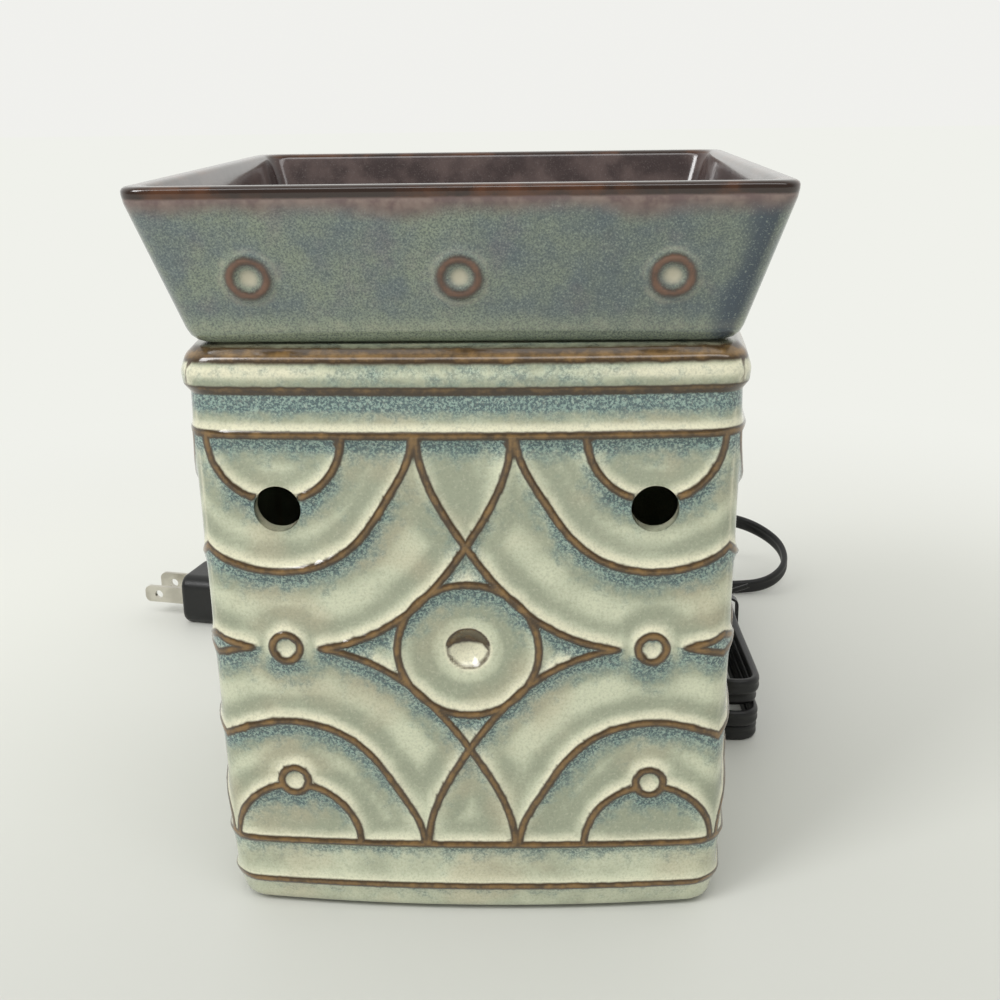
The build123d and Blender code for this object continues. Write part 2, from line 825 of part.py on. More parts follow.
def axle_length():
    """Axle reaches a little way into both side walls."""
    return switch_width - 2 * switch_wall + 2 * axle_seat


def switch_screw_spots():
    """The two fixing screws stand at opposite corners."""
    x, y = switch_screw_offset
    return [(x, y), (-x, -y)]


def make_switch_lower():
    """Deep half of the switch case."""
    case = switch_block(0, switch_lower_height, 0)
    case = fillet(case.faces().sort_by(Axis.Z)[0].edges(), switch_wall / 2)
    case -= switch_room(switch_wall, switch_lower_height)
    case -= axle_rod(axle_length(), axle_fit)
    for x, y in switch_screw_spots():
        case -= Pos(x, y, 0) * tube_between(switch_screw_head, 0, 0, switch_screw_head_height)
        case -= Pos(x, y, 0) * tube_between(switch_screw_diameter, 0, 0, switch_lower_height)
    return switch_set * case


def make_switch_upper():
    """Shallow half of the switch case, slotted for the wheel."""
    case = switch_block(switch_lower_height, switch_top, 0)
    case = fillet(case.faces().sort_by(Axis.Z)[-1].edges(), switch_wall)
    case -= switch_room(switch_lower_height, switch_top - switch_wall)
    case -= axle_rod(axle_length(), axle_fit)
    slot_x = wheel_diameter / 2 + wheel_clearance
    slot_y = wheel_thickness / 2 + wheel_clearance
    case -= box_between((-slot_x, -slot_y, switch_lower_height), (slot_x, slot_y, switch_top))
    screw_end = switch_top - switch_wall
    for x, y in switch_screw_spots():
        case -= Pos(x, y, 0) * tube_between(switch_screw_diameter, 0, switch_lower_height, screw_end)
    return switch_set * case


def make_wheel():
    """Thumb wheel with a knurled rim, on its axle."""
    outline = Circle(wheel_diameter / 2) - Circle(axle_diameter / 2 + axle_fit)
    outline -= PolarLocations(wheel_diameter / 2, wheel_notches) * Circle(wheel_notch_radius)
    wheel = extrude(Plane.XZ * outline, wheel_thickness / 2, both=True)
    return switch_set * Pos(0, 0, switch_lower_height) * wheel


def make_axle():
    """Pin that carries the wheel."""
    return switch_set * axle_rod(axle_length(), 0)


def make_switch_contacts():
    """Two brass strips standing on the case's floor, either side of the wheel."""
    strips = []
    half = switch_contact_length / 2
    for side in (-1, 1):
        near = side * (wheel_thickness / 2 + switch_contact_gap)
        far = near + side * switch_contact_thickness
        low = (-half, min(near, far), switch_wall)
        high = (half, max(near, far), switch_wall + switch_contact_height)
        strips.append(switch_set * box_between(low, high))
    return Compound(children=strips)


def make_switch_screws():
    """Screws that hold the case halves together, from below."""
    reach = switch_top - 2 * switch_wall
    shank = tube_between(switch_screw_diameter, 0, switch_screw_head_height, reach)
    head = tube_between(switch_screw_head, 0, switch_screw_sink, switch_screw_head_height)
    screw = shank + head
    return Compound(children=[switch_set * Pos(x, y, 0) * screw for x, y in switch_screw_spots()])


# Plug, drawn with its blades along x, then laid in place
plug_set = Location((*plug_place, 0), (0, 0, plug_turn))


def blade(width, wide_length):
    """Flat blade with a hole and rounded tip, wider over wide_length from its tip."""
    narrow = min(width, live_blade_width)
    outline = Pos((blade_length - blade_root) / 2, 0) * Rectangle(blade_length + blade_root, narrow)
    outline += Pos(blade_length - wide_length / 2, 0) * Rectangle(wide_length, width)
    outline = fillet(outline.vertices().sort_by(Axis.X)[-2:], blade_tip_round)
    outline -= Pos(blade_hole_place, 0) * Circle(blade_hole / 2)
    flat = extrude(Plane.XZ * outline, blade_thickness / 2, both=True)
    return Pos(0, 0, plug_thickness / 2) * flat


def make_blades():
    """Live and neutral blades in place on the plug's own table."""
    live = Pos(0, blade_spacing / 2, 0) * blade(live_blade_width, blade_length)
    neutral = Pos(0, -blade_spacing / 2, 0) * blade(neutral_blade_width, neutral_wide_length)
    return live, neutral


def plug_section(x, width, thickness):
    """Rounded cross-section of the plug at x."""
    plane = Plane((x, 0, plug_thickness / 2), x_dir=(0, 1, 0), z_dir=(-1, 0, 0))
    return plane * RectangleRounded(width, thickness, min(width, thickness) / 4)


def make_plug(live, neutral):
    """Moulded plug body with a tapered boot for the cord."""
    head = loft([plug_section(0, plug_width, plug_thickness),
                 plug_section(-plug_head_length, plug_width, plug_thickness)], ruled=True)
    head = fillet(head.faces().sort_by(Axis.X)[-1].edges(), plug_round)
    neck_width = plug_width - 2 * plug_round
    neck_thickness = plug_thickness - 2 * plug_round
    neck = loft([plug_section(-plug_head_length, neck_width, neck_thickness),
                 plug_section(-plug_length, plug_tail_width, plug_tail_thickness)], ruled=True)
    wide, narrow = plug_boot_start / 2, plug_boot_end / 2
    boot = revolved([(0, 0), (wide, 0), (narrow, plug_boot_length), (0, plug_boot_length)])
    boot_place = Location((-plug_length, 0, plug_thickness / 2), (0, -90, 0))
    body = head + neck + boot_place * boot
    return body - live - neutral


def main():
    """Build and write every node."""
    live, neutral = make_blades()
    envelope = raised_envelope()
    block = body_block(envelope)
    walls, crown = make_body_shell(block)
    save(walls, "body_shell")
    save(crown, "body_crown")
    save(make_raised_lines(block, envelope), "raised_lines")
    save(make_dish(), "wax_dish")
    save(make_feet(), "rubber_feet")
    save(make_nipple(), "threaded_nipple")
    save(make_nuts(), "nipple_nuts")
    washer_hole = nipple_diameter + 2 * nipple_hole_clearance
    save(tube_between(washer_diameter, washer_hole, washer_base, pocket_roof), "nipple_washer")
    save(tube_between(lock_washer_diameter, washer_hole, strap_top, lock_washer_top), "nipple_lock_washer")
    save(make_strap(), "holder_strap")
    save(make_strap_screws(), "strap_screws")
    save(make_holder(), "lamp_holder")
    save(make_terminal_screws(), "terminal_screws")
    save(make_screw_shell(), "holder_screw_shell")
    save(make_centre_contact(), "holder_centre_contact")
    save(make_cap(), "lamp_cap")
    save(make_insulator(), "lamp_insulator")
    save(make_button(), "lamp_contact")
    save(make_globe(), "lamp_globe")
    save(make_stem(), "lamp_stem")
    save(make_filament(), "lamp_filament")
    save(make_grommet(), "cord_grommet")
    save(make_lead(1), "live_lead")
    save(make_lead(-1), "neutral_lead")
    save(make_cord_lead(), "cord_lead")
    save(make_hank(), "cord_hank")
    save(make_tie(), "cord_tie")
    save(swept_tube(cord_path(loop_route, "cord_loop"), cord_diameter, "cord_loop"), "cord_loop")
    save(swept_tube(cord_path(tail_route, "cord_tail"), cord_diameter, "cord_tail"), "cord_tail")
    save(make_switch_lower(), "switch_case_lower")
    save(make_switch_upper(), "switch_case_upper")
    save(make_wheel(), "switch_wheel")
    save(make_axle(), "switch_axle")
    save(make_switch_contacts(), "switch_contacts")
    save(make_switch_screws(), "switch_screws")
    save(plug_set * make_plug(live, neutral), "plug_body")
    save(plug_set * live, "plug_blade_live")
    save(plug_set * neutral, "plug_blade_neutral")


main()
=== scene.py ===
import math

import bmesh
import bpy
import numpy as np
from mathutils import Matrix, Vector


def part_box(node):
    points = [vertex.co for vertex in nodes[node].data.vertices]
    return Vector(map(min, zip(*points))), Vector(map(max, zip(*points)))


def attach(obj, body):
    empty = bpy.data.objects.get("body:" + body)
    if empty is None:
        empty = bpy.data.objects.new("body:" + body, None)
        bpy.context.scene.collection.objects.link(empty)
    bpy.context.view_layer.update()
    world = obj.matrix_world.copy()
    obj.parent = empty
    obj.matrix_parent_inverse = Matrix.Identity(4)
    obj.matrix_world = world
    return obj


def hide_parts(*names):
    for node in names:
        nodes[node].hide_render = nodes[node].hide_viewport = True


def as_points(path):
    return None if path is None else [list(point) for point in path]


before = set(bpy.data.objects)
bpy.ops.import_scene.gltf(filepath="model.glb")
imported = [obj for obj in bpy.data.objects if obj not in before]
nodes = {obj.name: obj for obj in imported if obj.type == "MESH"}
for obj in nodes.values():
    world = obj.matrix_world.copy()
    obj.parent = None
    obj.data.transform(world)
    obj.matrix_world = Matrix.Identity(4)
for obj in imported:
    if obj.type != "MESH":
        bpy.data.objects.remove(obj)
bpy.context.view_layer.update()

# Lengths are written in millimetres and scaled once, where a mesh or a place is made.
MM = 0.001

# Camera, solved from the rim, the panel lines and the body's edges
PICTURE_WIDTH = 1000
FOCAL_PIXELS = 1335.1
SENSOR_WIDTH = 36.0
CAMERA_PLACE = (19.96, -348.36, 195.53)
CAMERA_PITCH = math.radians(17.192)  # looking down
CAMERA_YAW = math.radians(-2.428)
CAMERA_ROLL = math.radians(-0.785)

# Supply cord
CORD_WIDTH = 5.2
CORD_THICK = 2.7
CORD_GROOVE = 0.5  # between the two conductors, as a share of the thickness
CORD_GROOVE_SPREAD = 0.6
CORD_SQUARE = 0.8  # below 1, the section is fuller than an oval
CORD_POINTS = 24
CORD_LINE_STEP = 0.1  # least distance between points of its line
CORD_REST = 2.7
CORD_EXIT = 17.5
BOOT_TIP = (0.0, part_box("cord_grommet")[1][1] / MM, CORD_EXIT)
BOOT_RUN = 16.0  # straight where the cord leaves the boot
HANK_MIDDLE = (76.2, 89.0)
HANK_HALF_WIDTH = 6.0
HANK_WAIST = 4.2
HANK_WAIST_REACH = 13.0
HANK_HALF_RUN = 53.0
HANK_FAN = 2.5  # loops reach more or less far at the front
HANK_FAN_STEP = 2.4  # radians from loop to loop
HANK_LOOPS = 4
HANK_PITCH = 5.4
HANK_LIFT = 0.7  # of the first loop at the waist

# Body: half widths are at the middle of a side, heights above the table
BODY_CORNER = 7.0
BODY_BOW = 0.085  # radians that a side turns from its middle to its corner
ROLL_LINE = 140.1
NECK_LINE = 132.4
UPPER_LINE = 122.4
LOWER_LINE = 19.6
SKIRT_LINE = 7.9
LEVEL_LEAN = {SKIRT_LINE: 0.3, LOWER_LINE: 0.55, UPPER_LINE: 1.0}  # weight of the glaze's change across each
PANEL_MIDDLE = (UPPER_LINE + LOWER_LINE) / 2
ARC_OFFSET = 42.6
SMALL_ARC = 15.5
MIDDLE_ARC = 32.4
MIDDLE_DIP, MIDDLE_DRIFT = 0.075, -0.04  # straightening, as shares of the radius
LARGE_ARC = 52.0
LARGE_DIP, LARGE_DRIFT = 0.055, 0.022
TIP_FADE = (4.0, 9.6)  # large arcs thin out towards the middle dots
DOT_HEIGHT = 36.2
CENTRE_RING = 16.4
DOT_RING = 3.3
DIMPLE_RADIUS = 5.25
DIMPLE_DEPTH = 3.2
VENT_RADIUS = 5.4
VENT_HEIGHT = 105.0
VENT_WEAR = 0.5  # brown on a vent's edge
VENT_SEARCH = 1.4  # of its radius, within which a vent's open edges lie
RIDGE_SPREAD = 1.3
RIDGE_HEIGHT = 1.05
RIDGE_END = (52.0, 59.0)  # ridges flatten on their way to a corner
FIELD_DIP = 0.4  # fields lie lower than the foot of the ridges
FIELD_FOOT = (8.0, 24.0)
FIELD_HEAD = (118.0, 132.0)
CREAM_TRAIL = (1.2, 1.9)  # start beside a line, and reach
POOL_TRAIL = (1.7, 3.6)
NECK_TRAIL = (3.2, 2.6)
CORNER_PALE = (58.5, 61.5)  # from the middle of a side
CORNER_WORN = (60.6, 61.8)
ROLL_HIGHLIGHT = 136.6  # painted highlight, a pale band along the roll
ROLL_UNSHADED = 136.4  # the roll stays light round this height and has painted shade above and below it
SEAT_RADIUS = 8.2  # flat seat of the cord's bush at the back
SEAT_BLEND = 1.3  # of its radius, where the seat meets the side
SEAT_DEPTH = 21.5  # boot's tip behind the seat
BACK_WALL = 60.0  # points further back than this belong to the back's outer face

# Dish
DISH_CORNER = 5.0
DISH_BOW = 0.0
BOSS_SPACING = 45.0
BOSS_HEIGHT = 157.2
BOSS_RING = 4.0
BOSS_REACH = 5.0
BOSS_SPREAD = 1.35
BOSS_PROUD = 1.0
BOSS_DIMPLE = 0.3


def srgb(red, green, blue):
    """Linear colour of a screen colour given as three values up to 255."""
    share = [value / 255 for value in (red, green, blue)]
    linear = [s / 12.92 if s <= 0.04045 else ((s + 0.055) / 1.055) ** 2.4 for s in share]
    return (*linear, 1.0)


# Camera
def make_camera():
    """Camera at the photograph's place."""
    data = bpy.data.cameras.new("view_camera")
    data.sensor_width = SENSOR_WIDTH
    data.lens = FOCAL_PIXELS / PICTURE_WIDTH * SENSOR_WIDTH
    data.clip_start = 0.01
    right = Vector((math.cos(CAMERA_YAW), -math.sin(CAMERA_YAW), 0))
    ahead = Vector((math.sin(CAMERA_YAW), math.cos(CAMERA_YAW), 0))
    rise = Vector((0, 0, 1))
    forward = ahead * math.cos(CAMERA_PITCH) - rise * math.sin(CAMERA_PITCH)
    up = ahead * math.sin(CAMERA_PITCH) + rise * math.cos(CAMERA_PITCH)
    side = right * math.cos(CAMERA_ROLL) + up * math.sin(CAMERA_ROLL)
    top = up * math.cos(CAMERA_ROLL) - right * math.sin(CAMERA_ROLL)
    turn = Matrix((side, top, -forward)).transposed()
    camera = bpy.data.objects.new("view_camera", data)
    camera.matrix_world = Matrix.Translation(Vector(CAMERA_PLACE) * MM) @ turn.to_4x4()
    bpy.context.scene.collection.objects.link(camera)
    bpy.context.scene.camera = camera


# Node helpers
def new_material(name):
    """Material with a bare Principled surface; gives the material, its tree and that surface."""
    material = bpy.data.materials.new(name)
    material.use_nodes = True
    return material, material.node_tree, material.node_tree.nodes["Principled BSDF"]


def add(tree, kind, sockets=None, **settings):
    """Node of a kind, with its settings, and its sockets set or joined."""
    made = tree.nodes.new("ShaderNode" + kind)
    for key, value in settings.items():
        setattr(made, key, value)
    join(tree, made, sockets or {})
    return made


def join(tree, made, sockets):
    """Set or join a node's inputs."""
    for key, value in sockets.items():
        if isinstance(value, bpy.types.NodeSocket):
            tree.links.new(value, made.inputs[key])
        else:
            made.inputs[key].default_value = value


def place(tree):
    """Object coordinates."""
    return add(tree, "TexCoord").outputs["Object"]


def noise(tree, where, size, detail=2.0, rough=0.5):
    """Noise with features of about a size in millimetres."""
    sockets = {"Vector": where, "Scale": 1 / (size * MM), "Detail": detail, "Roughness": rough}
    return add(tree, "TexNoise", sockets).outputs["Fac"]


def span(tree, value, low, high):
    """Smooth step of a value between low and high."""
    sockets = {"Value": value, "From Min": low, "From Max": high}
    return add(tree, "MapRange", sockets, interpolation_type="SMOOTHSTEP").outputs["Result"]


def calc(tree, operation, first, second):
    """Sum, product or another operation on two values."""
    return add(tree, "Math", {0: first, 1: second}, operation=operation).outputs[0]


def times(tree, first, second):
    """Product of two values."""
    return calc(tree, "MULTIPLY", first, second)


def tint(tree, share, first, second):
    """Colour between two colours."""
    return add(tree, "Mix", {0: share, 6: first, 7: second}, data_type="RGBA").outputs[2]


def painted(tree, name):
    """Value painted on the mesh's points."""
    return add(tree, "Attribute", attribute_name=name).outputs["Fac"]


def bump(tree, surface, height, distance, strength=1.0):
    """Fine relief on a surface, its distance in millimetres."""
    sockets = {"Height": height, "Distance": distance * MM, "Strength": strength}
    tree.links.new(add(tree, "Bump", sockets).outputs["Normal"], surface.inputs["Normal"])


def swayed(tree, value, wave, amount):
    """Value pushed up and down by a noise."""
    return calc(tree, "ADD", value, times(tree, calc(tree, "SUBTRACT", wave, 0.5), amount))


# Glazes
def body_glaze():
    """Reactive glaze: brown where it breaks over ridges, cream above them, blue specks below."""
    material, tree, surface = new_material("body_glaze")
    where = place(tree)
    mottle = noise(tree, where, 11, 3, 0.55)
    cloud = noise(tree, where, 3.2, 3, 0.6)
    speck = noise(tree, where, 0.6, 3, 0.7)
    grain = noise(tree, where, 0.7, 2, 0.6)
    ridge = painted(tree, "ridge")
    cream = painted(tree, "cream")
    pool = painted(tree, "pool")
    deep_and_shade = painted(tree, "deep_and_shade")
    # Darker fields, and on the roll's top and bottom this darkening is painted shade
    depth = span(tree, swayed(tree, deep_and_shade, mottle, 1.5), -0.1, 1.05)
    field = tint(tree, depth, srgb(194, 198, 172), srgb(144, 150, 128))
    warm = span(tree, noise(tree, where, 19, 2), 0.48, 0.7)
    field = tint(tree, times(tree, warm, 0.4), field, srgb(178, 164, 136))
    # Cream where the glaze breaks pale; on the roll this cream is a painted highlight band
    field = tint(tree, span(tree, swayed(tree, cream, cloud, 0.4), 0.2, 0.9), field, srgb(213, 210, 184))
    under = span(tree, swayed(tree, pool, cloud, 0.9), 0.15, 0.8)
    field = tint(tree, times(tree, under, 0.8), field, srgb(128, 156, 149))
    specks = times(tree, span(tree, speck, 0.38, 0.58), times(tree, under, 0.95))
    field = tint(tree, specks, field, srgb(36, 68, 80))
    field = tint(tree, times(tree, span(tree, speck, 0.4, 0.75), 0.35), field, srgb(116, 118, 102))
    field = tint(tree, times(tree, span(tree, grain, 0.5, 0.25), 0.16), field, srgb(214, 212, 190))
    top = span(tree, swayed(tree, ridge, cloud, 0.9), 0.7, 1.2)
    brown = tint(tree, top, srgb(60, 45, 26), srgb(126, 97, 54))
    worn = span(tree, swayed(tree, ridge, cloud, 0.26), 0.42, 0.72)
    join(tree, surface, {"Base Color": tint(tree, worn, field, brown)})
    finish_glaze(tree, surface, cloud)
    return material


def finish_glaze(tree, surface, cloud):
    """Gloss and faint unevenness that all the glazes share."""
    shine = calc(tree, "ADD", times(tree, cloud, 0.12), 0.12)
    join(tree, surface, {"Roughness": shine, "Coat Weight": 0.5, "Coat Roughness": 0.08})
    bump(tree, surface, noise(tree, place(tree), 4, 1), 0.1, 0.3)


def dish_glaze():
    """Grey green speckled glaze under a purple brown rim, with a blue run at each corner."""
    material, tree, surface = new_material("dish_glaze")
    where = place(tree)
    mottle = noise(tree, where, 9, 3, 0.55)
    cloud = noise(tree, where, 3.6, 3, 0.6)
    speck = noise(tree, where, 0.45, 2, 0.7)
    rim = painted(tree, "rim")
    drip = painted(tree, "drip")
    ring = painted(tree, "ridge")
    halo = painted(tree, "cream")
    low = painted(tree, "pool")
    inside = painted(tree, "inside")
    run = painted(tree, "run")
    field = tint(tree, span(tree, mottle, 0.3, 0.7), srgb(100, 112, 112), srgb(126, 136, 118))
    warm = span(tree, noise(tree, where, 7, 3), 0.5, 0.75)
    field = tint(tree, times(tree, warm, 0.35), field, srgb(116, 106, 112))
    field = tint(tree, span(tree, swayed(tree, low, cloud, 0.5), 0.2, 1.0), field, srgb(138, 148, 126))
    field = tint(tree, times(tree, run, 0.95), field, srgb(48, 62, 76))
    field = tint(tree, times(tree, span(tree, speck, 0.42, 0.66), 0.62), field, srgb(62, 72, 78))
    field = tint(tree, times(tree, span(tree, speck, 0.46, 0.26), 0.55), field, srgb(152, 162, 149))
    field = tint(tree, span(tree, swayed(tree, halo, cloud, 0.4), 0.2, 0.95), field, srgb(188, 182, 160))
    purple = tint(tree, span(tree, cloud, 0.35, 0.7), srgb(96, 76, 74), srgb(126, 108, 100))
    field = tint(tree, span(tree, swayed(tree, drip, mottle, 0.4), 0.2, 0.95), field, purple)
    dark = tint(tree, span(tree, mottle, 0.35, 0.65), srgb(54, 42, 41), srgb(82, 68, 65))
    dark = tint(tree, times(tree, span(tree, speck, 0.45, 0.25), 0.4), dark, srgb(116, 108, 104))
    field = tint(tree, inside, field, dark)
    crest = span(tree, swayed(tree, ring, cloud, 0.8), 0.6, 1.1)
    brown = tint(tree, crest, srgb(62, 42, 32), srgb(108, 78, 60))
    field = tint(tree, span(tree, swayed(tree, ring, cloud, 0.4), 0.15, 0.95), field, brown)
    edge = tint(tree, span(tree, mottle, 0.4, 0.7), srgb(36, 19, 8), srgb(78, 44, 20))
    colour = tint(tree, span(tree, swayed(tree, rim, cloud, 0.3), 0.4, 0.75), field, edge)
    join(tree, surface, {"Base Color": colour})
    finish_glaze(tree, surface, cloud)
    return material


# Plain finishes of the other pieces
def plain_finish(name, first, second, roughness, metallic=0.0, grain=0.4, depth=0.02):
    """Finish of two close colours with a fine grain."""
    material, tree, surface = new_material(name)
    where = place(tree)
    wide = noise(tree, where, 6, 3)
    fine = noise(tree, where, grain, 2, 0.6)
    colour = tint(tree, span(tree, wide, 0.3, 0.7), first, second)
    shine = calc(tree, "ADD", times(tree, fine, 0.2), roughness - 0.1)
    join(tree, surface, {"Base Color": colour, "Roughness": shine, "Metallic": metallic})
    bump(tree, surface, fine, depth)
    return material


def clear_glass():
    """Thin lamp glass."""
    material, tree, surface = new_material("lamp_glass")
    faint = noise(tree, place(tree), 9, 2)
    shine = times(tree, faint, 0.06)
    colour = tint(tree, faint, srgb(246, 248, 246), srgb(252, 252, 250))
    join(tree, surface, {"Base Color": colour, "Roughness": shine})
    join(tree, surface, {"Transmission Weight": 1.0, "IOR": 1.45})
    return material


# Square ceramic walls
ROUND_STEPS = 5
ROUND_LIMIT = 0.48  # of a run, which a round may take at each end
FINE_CUTS = 2  # of an edge near something raised
FLAT_SHARE = 0.9  # of a side's columns, before its corners
OUTER_FACE = 0.99  # least bow share of a shell's outer face
WELD = 0.02
FAR = 50.0  # further than anything raised


def rounded(points):
    """Outline of (half width, height, round, bow share) corners, with its rounds drawn as arcs."""
    rows = [points[0][:2] + points[0][3:4]]
    for before, corner, after in zip(points, points[1:], points[2:]):
        here = np.array(corner[:2])
        back = np.array(before[:2]) - here
        on = np.array(after[:2]) - here
        back_length, on_length = np.linalg.norm(back), np.linalg.norm(on)
        back, on = back / back_length, on / on_length
        half = math.acos(np.clip(back @ on, -1, 1)) / 2
        reach = min(corner[2] / math.tan(half), ROUND_LIMIT * back_length, ROUND_LIMIT * on_length)
        start, end = here + back * reach, here + on * reach
        for share in np.linspace(0, 1, ROUND_STEPS):
            bend = (1 - share) ** 2 * start + 2 * share * (1 - share) * here + share**2 * end
            rows.append((*bend, corner[3]))
    rows.append(points[-1][:2] + points[-1][3:4])
    return np.array(rows)


def spaced(rows, outer_step, inner_step):
    """Outline with its long runs cut into steps, wider on the inside, where nothing is raised."""
    cut = [rows[:1]]
    for first, second in zip(rows, rows[1:]):
        step = outer_step if min(first[2], second[2]) > 0.5 else inner_step
        count = max(1, round(np.linalg.norm((second - first)[:2]) / step))
        cut.append(np.linspace(first, second, count + 1)[1:])
    return np.concatenate(cut)


class Side:
    """One side of a square shell, from the middle of a corner to the middle of the next."""

    def __init__(self, rows, corner, bow):
        self.rows, self.corner, self.bow = rows, corner, bow

    def lay(self, across, row):
        """Unrolled place, height, plan point, plan normal and bow share of points of the side."""
        steps = np.arange(len(self.rows))
        half, z, share = [np.interp(row, steps, self.rows[:, k]) for k in range(3)]
        lean = np.maximum(self.bow * share, 1e-4)
        sine, cosine = np.sin(lean), np.cos(lean)
        flat = (half - self.corner * (cosine - sine)) * lean / (sine + 1 - cosine)
        size = np.abs(across)
        beyond = np.clip((size - FLAT_SHARE) / (1 - FLAT_SHARE), 0, 1) * (math.pi / 4 - lean)
        along = np.minimum(size / FLAT_SHARE, 1) * flat
        radius = flat / lean
        angle = along / radius
        turned = angle + beyond
        x = radius * np.sin(angle) + self.corner * (np.sin(turned) - np.sin(angle)) * (beyond > 0)
        drop = radius * (1 - np.cos(angle)) + self.corner * (np.cos(angle) - np.cos(turned)) * (beyond > 0)
        sign = np.sign(across)
        unrolled = sign * (along + self.corner * beyond)
        normal = np.stack([sign * np.sin(turned), -np.cos(turned), 0 * z], 1)
        return unrolled, z, np.stack([sign * x, drop - half, z], 1), normal, share


def shell_side(rows, corner, bow, columns, near, fine_within, levels=()):
    """Flat grid of a side, finer near what is raised or cut, and only up and down along level lines."""
    side = Side(rows, corner, bow)
    bm = bmesh.new()
    bmesh.ops.create_grid(bm, x_segments=columns, y_segments=len(rows) - 1, size=1)
    for vert in bm.verts:
        vert.co.y = (vert.co.y + 1) / 2 * (len(rows) - 1)
    flat = np.array([vert.co[:2] for vert in bm.verts])
    unrolled, z, _, _, share = side.lay(flat[:, 0], flat[:, 1])
    close = near(unrolled, z, share) < fine_within
    level = np.zeros_like(close)
    for height in levels:
        level |= (np.abs(z - height) < fine_within) & (share > OUTER_FACE)
    bm.verts.index_update()
    edges = []
    for edge in bm.edges:
        first, second = edge.verts[0].index, edge.verts[1].index
        upright = abs(flat[first, 0] - flat[second, 0]) < 1e-6
        if close[first] and close[second] or upright and level[first] and level[second]:
            edges.append(edge)
    bmesh.ops.subdivide_edges(bm, edges=edges, cuts=FINE_CUTS, use_grid_fill=True)
    return side, bm


def raise_side(bm, side, relief, attributes):
    """Bend a flat side into place, raise its relief and paint its values."""
    flat = np.array([vert.co[:2] for vert in bm.verts])
    unrolled, z, point, normal, share = side.lay(flat[:, 0], flat[:, 1])
    height, values = relief(unrolled, z, share)
    point = (point + normal * height[:, None]) * MM
    layers = {name: bm.verts.layers.float.new(name) for name in attributes}
    for index, vert in enumerate(bm.verts):
        vert.co = point[index]
        for name, layer in layers.items():
            vert[layer] = values[name][index]


def four_sides(bm):
    """Turn one side into all four and close the corners."""
    geometry = bm.verts[:] + bm.edges[:] + bm.faces[:]
    bmesh.ops.spin(
        bm, geom=geometry, cent=(0, 0, 0), axis=(0, 0, 1), angle=1.5 * math.pi, steps=3, use_duplicate=True
    )
    bmesh.ops.remove_doubles(bm, verts=bm.verts[:], dist=WELD * MM)


def finished(bm, name, material, sharp=40):
    """Object of a finished mesh."""
    bmesh.ops.recalc_face_normals(bm, faces=bm.faces[:])
    mesh = bpy.data.meshes.new(name)
    bm.to_mesh(mesh)
    bm.free()
    mesh.shade_smooth()
    mesh.set_sharp_from_angle(angle=math.radians(sharp))
    mesh.materials.append(material)
    made = bpy.data.objects.new(name, mesh)
    bpy.context.scene.collection.objects.link(made)
    return made


# Body's raised pattern
def bell(distance, spread):
    """Rounded ridge, 1 on its line."""
    return np.exp(-((distance / spread) ** 2))


def fade(value, low, high):
    """Smooth step of an array."""
    share = np.clip((value - low) / (high - low), 0, 1)
    return share * share * (3 - 2 * share)


def dot_distance(x, z):
    """Distance from the middle of the nearest dot."""
    across = np.abs(x) - ARC_OFFSET
    return np.minimum(np.hypot(across, z - PANEL_MIDDLE), np.hypot(across, z - DOT_HEIGHT))


def flattened(radius, across, rise, dip, drift):
    """Radius of an arc that straightens on its way to the middle of the side."""
    angle = np.arctan2(np.maximum(-across, 0), np.abs(rise)) / (math.pi / 2)
    return radius * (1 - dip * np.sin(math.pi * angle**1.5) ** 2 + drift * angle)


def arc_lines(x, z):
    """Signed distance, upward lean and strength of every raised arc and ring of a side."""
    panel = (z < UPPER_LINE) & (z > LOWER_LINE)
    clear = panel * fade(dot_distance(x, z), DOT_RING - 0.6, DOT_RING)
    tips = panel * fade(np.hypot(np.abs(x) - ARC_OFFSET, z - PANEL_MIDDLE), *TIP_FADE)
    for side in (-1, 1):
        across = side * x - ARC_OFFSET
        for level in (LOWER_LINE, UPPER_LINE):
            away = np.hypot(across, z - level)
            lean = (z - level) / np.maximum(away, 0.01)
            yield away - SMALL_ARC, lean, clear
            yield away - flattened(MIDDLE_ARC, across, z - level, MIDDLE_DIP, MIDDLE_DRIFT), lean, clear
            yield away - flattened(LARGE_ARC, across, z - level, LARGE_DIP, LARGE_DRIFT), lean, tips
        for level in (PANEL_MIDDLE, DOT_HEIGHT):
            away = np.hypot(across, z - level)
            yield away - DOT_RING, (z - level) / np.maximum(away, 0.01), 1.0
    away = np.hypot(x, z - PANEL_MIDDLE)
    yield away - CENTRE_RING, (z - PANEL_MIDDLE) / np.maximum(away, 0.01), 1.0


def ridge_lines(x, z):
    """Signed distance, upward lean and strength of every raised line of a side, with the level ones."""
    yield from arc_lines(x, z)
    for level, lean in LEVEL_LEAN.items():
        yield z - level, lean, 1.0


def vent_distance(x, z):
    """Distance from the middle of the nearer vent."""
    return np.hypot(np.abs(x) - ARC_OFFSET, z - VENT_HEIGHT)


def body_near(x, z, share):
    """Distance to the nearest raised arc, dimple edge or vent edge."""
    least = np.abs(vent_distance(x, z) - VENT_RADIUS)
    away = np.abs(np.hypot(x, z - PANEL_MIDDLE) - DIMPLE_RADIUS)
    least = np.where(share > OUTER_FACE, np.minimum(least, away), least)
    for distance, _, strength in arc_lines(x, z):
        raised = (share > OUTER_FACE) & (np.asarray(strength) > 0)
        least = np.where(raised, np.minimum(least, np.abs(distance)), least)
    return least


def trail(distance, start, reach):
    """Value that is 1 up to a start beside a line and dies away beyond it."""
    return np.exp(-np.maximum(distance - start, 0) / reach)


